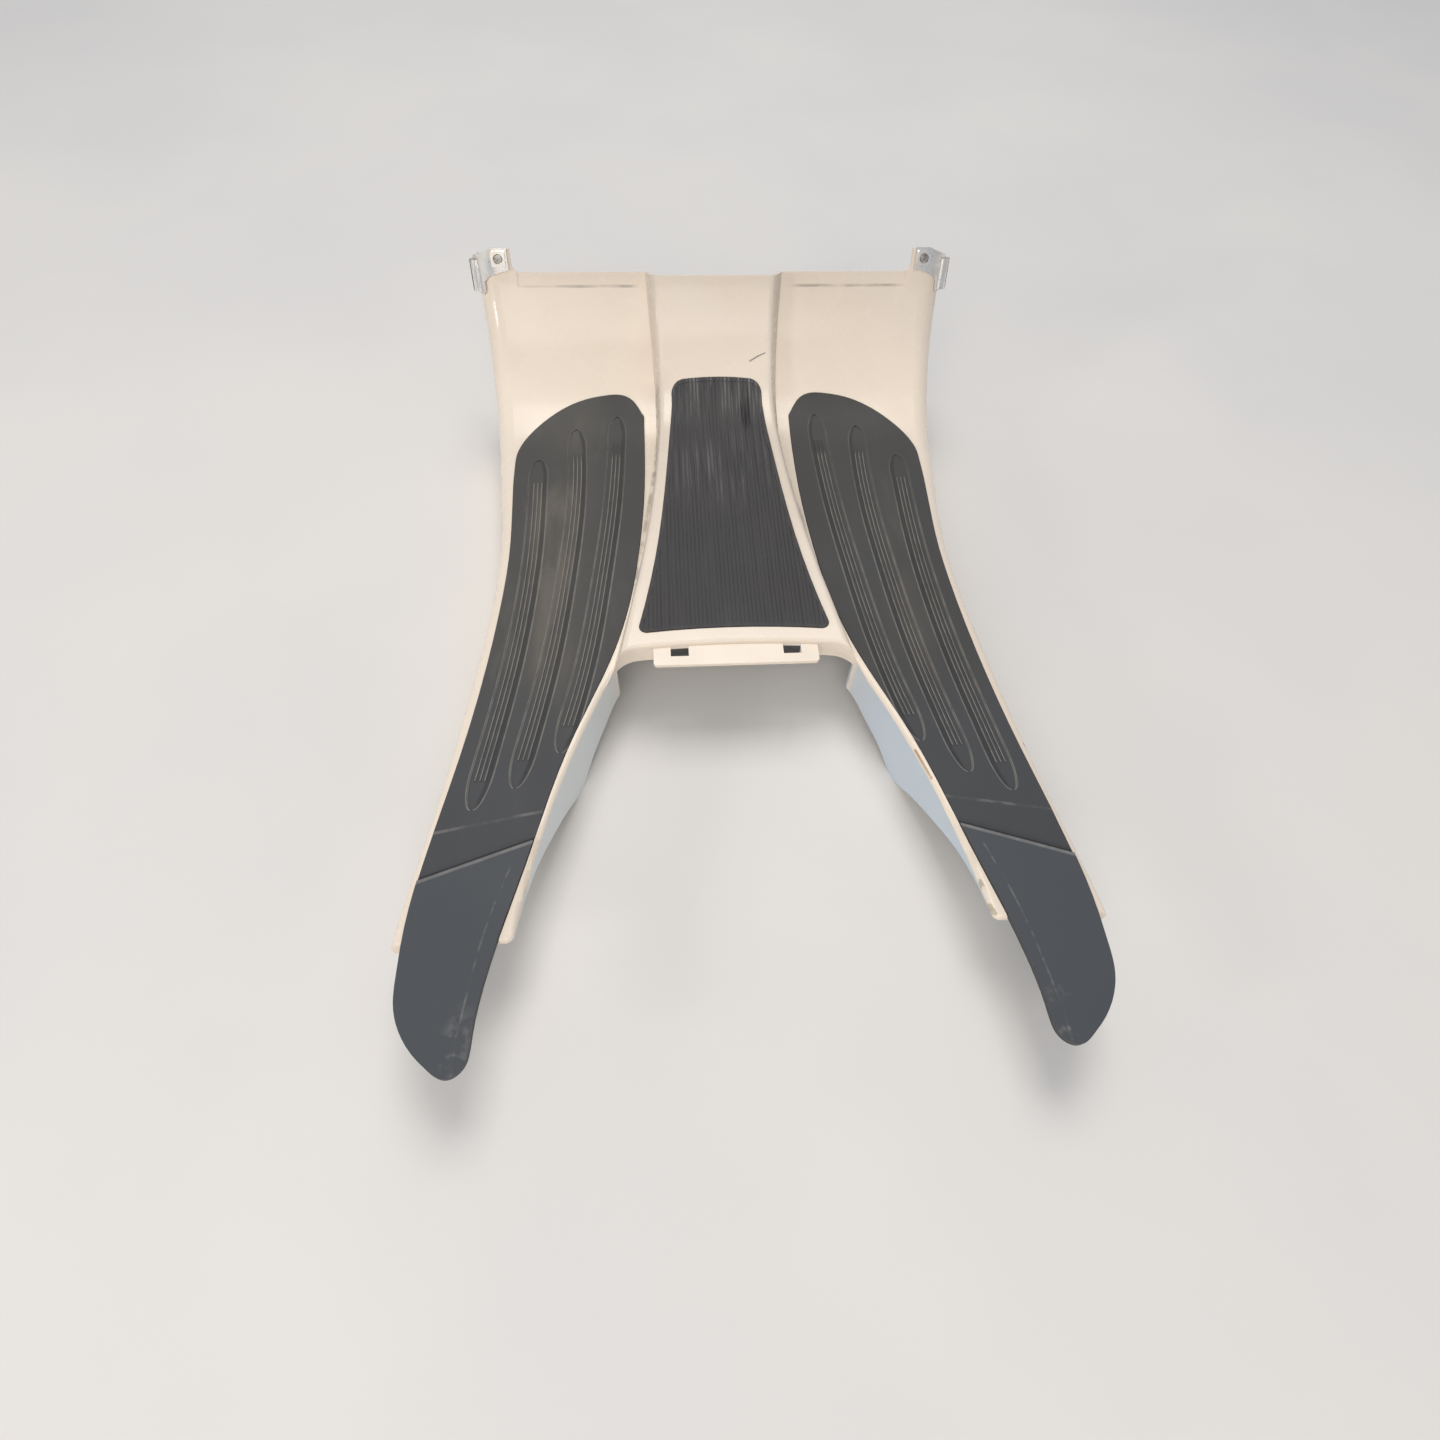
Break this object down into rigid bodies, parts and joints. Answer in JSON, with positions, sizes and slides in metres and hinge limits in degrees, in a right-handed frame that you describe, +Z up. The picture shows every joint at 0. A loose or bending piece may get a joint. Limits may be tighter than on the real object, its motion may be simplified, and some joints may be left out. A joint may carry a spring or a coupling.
{
  "type": "scooter floorboard",
  "caption": "Moulded scooter floorboard with a raised tunnel, a front that sweeps up to the leg shield, rear arms beside a cut-out, inset rubber mats and chromed trim caps at the top corners.",
  "frame": {"origin": "on the surface that the board stands on, under the middle of its bounding box", "axes": "+X to the rider's right, +Y forwards to the leg shield, +Z up"},
  "size_m": [0.4884, 0.7284, 0.1783],
  "materials": {
    "panel": "cream-white gloss paint, scuffed and dusty",
    "mat": "matte charcoal rubber, dusty and worn",
    "centre_mat": "matte charcoal rubber with fine ribs",
    "chrome": "bright chrome, lightly pitted",
    "screw": "plated steel",
    "nut": "dull spring steel"
  },
  "bodies": {
    "root": {"floor_panel": "panel", "left_mat": "mat", "right_mat": "mat", "center_mat": "centre_mat", "left_trim_cap": "chrome", "right_trim_cap": "chrome", "cap_screws": "screw", "clip_nuts": "nut"}
  },
  "joints": []
}
